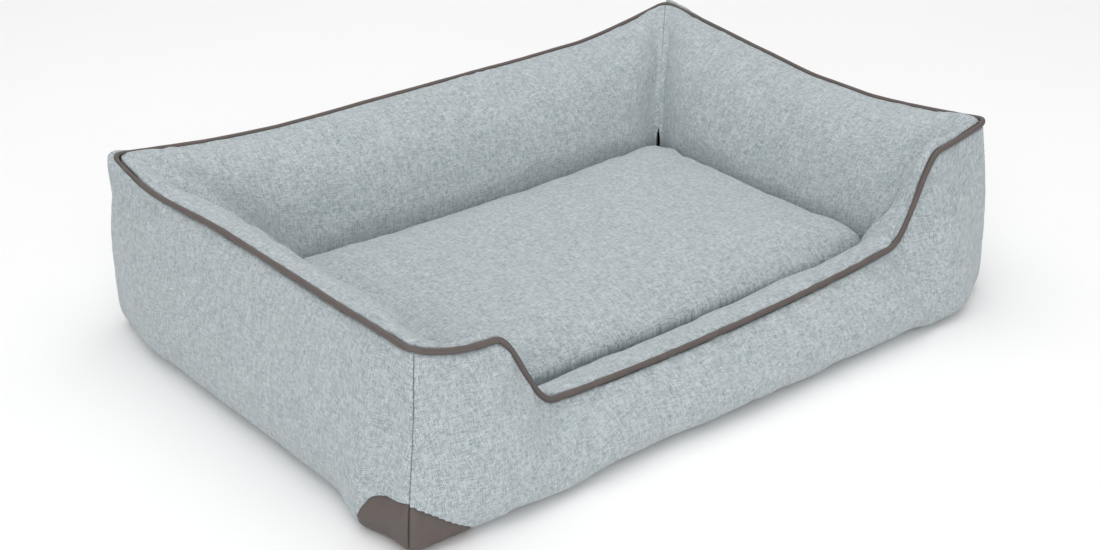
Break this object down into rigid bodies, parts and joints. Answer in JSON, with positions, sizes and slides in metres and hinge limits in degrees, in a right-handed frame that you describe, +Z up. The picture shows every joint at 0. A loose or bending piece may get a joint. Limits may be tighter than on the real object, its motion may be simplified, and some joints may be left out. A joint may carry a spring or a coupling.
{
  "type": "pet cushion bed",
  "caption": "Rectangular pet bed with stuffed fabric walls, a low entrance in one long side, a piped rim, leather corner patches and a loose zipped cushion.",
  "frame": {"origin": "on the floor under the middle of the bed (centre of the bounding box's underside)", "axes": "+X along the long side, +Y from the low entrance to the back wall, +Z up"},
  "size_m": [0.892, 0.62, 0.2175],
  "materials": {
    "cover_fabric": "blue-grey melange plain weave, matt",
    "base_fabric": "dark non-slip backing cloth with small raised dots",
    "leather": "taupe leather-look, fine grain, satin",
    "filling": "white polyester fibre",
    "foam": "open-cell foam",
    "zip_tape": "woven zip tape",
    "zip_coil": "moulded coil",
    "zip_metal": "plated, satin"
  },
  "bodies": {
    "shell": {"base_panel": "base_fabric", "floor_pad": "foam", "floor_panel": "cover_fabric", "outer_panel_front": "cover_fabric", "outer_panel_back": "cover_fabric", "outer_panel_left": "cover_fabric", "outer_panel_right": "cover_fabric", "inner_panel_front": "cover_fabric", "inner_panel_back": "cover_fabric", "inner_panel_left": "cover_fabric", "inner_panel_right": "cover_fabric", "bolster_filling_front": "filling", "bolster_filling_back": "filling", "bolster_filling_left": "filling", "bolster_filling_right": "filling", "rim_piping_cover": "leather", "rim_piping_cord": "filling", "corner_patch_front_left_on_front": "leather", "corner_patch_front_left_on_left": "leather", "corner_patch_front_right_on_front": "leather", "corner_patch_front_right_on_right": "leather", "corner_patch_back_right_on_right": "leather", "corner_patch_back_right_on_back": "leather", "corner_patch_back_left_on_back": "leather", "corner_patch_back_left_on_left": "leather"},
    "cushion": {"cushion_cover_top": "cover_fabric", "cushion_cover_base": "cover_fabric", "cushion_filling": "filling", "zip_tape_upper": "zip_tape", "zip_tape_lower": "zip_tape", "zip_coil_upper": "zip_coil", "zip_coil_lower": "zip_coil", "zip_stop_closed": "zip_metal", "zip_stop_open": "zip_metal"},
    "zip_slider": {"zip_slider": "zip_metal"},
    "zip_pull": {"zip_pull": "zip_metal"}
  },
  "joints": [
    {"name": "cushion_lift", "type": "slide", "parent": "shell", "child": "cushion", "axis": [0, 0, 1], "range_m": [0, 0.3]},
    {"name": "zip_run", "type": "slide", "parent": "cushion", "child": "zip_slider", "axis": [1, 0, 0], "range_m": [0, 0.3874]},
    {"name": "pull_swing", "type": "hinge", "parent": "zip_slider", "child": "zip_pull", "pos_m": [-0.1937, 0.1657, 0.045], "axis": [0, 1, 0], "range_deg": [-75, 75]}
  ]
}
